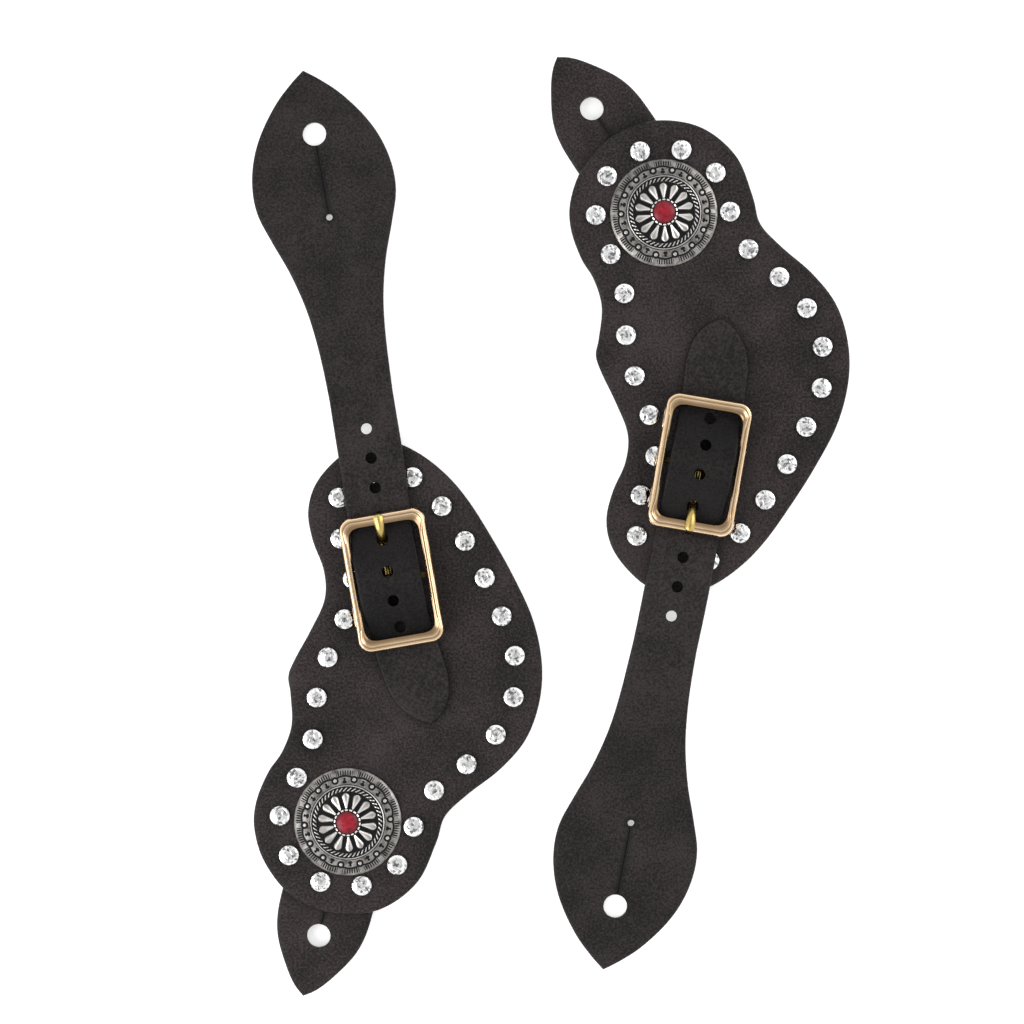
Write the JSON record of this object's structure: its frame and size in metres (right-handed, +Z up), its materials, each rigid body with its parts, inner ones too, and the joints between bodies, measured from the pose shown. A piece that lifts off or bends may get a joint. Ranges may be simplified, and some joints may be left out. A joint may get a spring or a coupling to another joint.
{
  "type": "spur strap pair",
  "caption": "Pair of black leather western spur straps with a brass buckle, a silver concho with a red stone, and clear crystals set round the edge.",
  "frame": {"origin": "the middle of the pair's box, on the surface that the straps lie on", "axes": "+X across the pair from the left strap to the right one, +Y along the pair towards the left strap's keyhole end, +Z up out of the leather's face"},
  "size_m": [0.2129, 0.3351, 0.0173],
  "materials": {
    "black_leather": "matte, fine grain",
    "billet_leather": "matte, fine grain",
    "chape_leather": "matte",
    "brass_frame": "polished",
    "brass_tongue": "polished",
    "antique_silver": "antiqued silver, dark in the recesses",
    "red_stone": "polished cabochon",
    "plated_steel": "satin plate",
    "crystal": "faceted, foil backed",
    "silver_cup": "bright plate"
  },
  "bodies": {
    "left_strap": {"left_panel": "black_leather", "left_chape": "chape_leather", "left_chape_rivets": "plated_steel", "left_concho": "antique_silver", "left_concho_stone": "red_stone", "left_concho_screw": "plated_steel", "left_crystals": "crystal", "left_crystal_cups": "silver_cup", "left_rivet_backs": "plated_steel"},
    "left_hanger": {"left_hanger": "black_leather"},
    "left_buckle": {"left_buckle_frame": "brass_frame"},
    "left_tongue": {"left_tongue": "brass_tongue"},
    "left_billet": {"left_billet": "billet_leather"},
    "right_strap": {"right_panel": "black_leather", "right_chape": "chape_leather", "right_chape_rivets": "plated_steel", "right_concho": "antique_silver", "right_concho_stone": "red_stone", "right_concho_screw": "plated_steel", "right_crystals": "crystal", "right_crystal_cups": "silver_cup", "right_rivet_backs": "plated_steel"},
    "right_hanger": {"right_hanger": "black_leather"},
    "right_buckle": {"right_buckle_frame": "brass_frame"},
    "right_tongue": {"right_tongue": "brass_tongue"},
    "right_billet": {"right_billet": "billet_leather"}
  },
  "joints": [
    {"name": "left_hanger_swivel", "type": "hinge", "parent": "left_strap", "child": "left_hanger", "pos_m": [-0.0718, -0.1048, 0.0012], "axis": [0, 0, 1], "range_deg": [-25, 25]},
    {"name": "left_buckle_rock", "type": "hinge", "parent": "left_strap", "child": "left_buckle", "pos_m": [-0.05599, -0.01894, 0.0113], "axis": [0.9851, 0.1719, 0], "range_deg": [-1, 1.5]},
    {"name": "left_tongue_lift", "type": "hinge", "parent": "left_buckle", "child": "left_tongue", "pos_m": [-0.05599, -0.01894, 0.0113], "axis": [0.9851, 0.1719, 0], "range_deg": [0, 1.5]},
    {"name": "left_billet_sway", "type": "hinge", "parent": "left_strap", "child": "left_billet", "pos_m": [-0.05934, -0.0044, 0.008], "axis": [0, 0, 1], "range_deg": [-0.5, 0.5]},
    {"name": "right_hanger_swivel", "type": "hinge", "parent": "right_strap", "child": "right_hanger", "pos_m": [0.0404, 0.1113, 0.0012], "axis": [0, 0, 1], "range_deg": [-25, 25]},
    {"name": "right_buckle_rock", "type": "hinge", "parent": "right_strap", "child": "right_buckle", "pos_m": [0.05288, 0.02176, 0.0113], "axis": [-0.9857, 0.1685, 0], "range_deg": [-1, 1.5]},
    {"name": "right_tongue_lift", "type": "hinge", "parent": "right_buckle", "child": "right_tongue", "pos_m": [0.05288, 0.02176, 0.0113], "axis": [-0.9857, 0.1685, 0], "range_deg": [0, 1.5]},
    {"name": "right_billet_sway", "type": "hinge", "parent": "right_strap", "child": "right_billet", "pos_m": [0.05037, 0.00707, 0.008], "axis": [0, 0, 1], "range_deg": [-0.5, 0.5]},
    {"name": "right_strap_lift", "type": "slide", "parent": "left_strap", "child": "right_strap", "axis": [0, 0, 1], "range_m": [0, 0.08]}
  ]
}
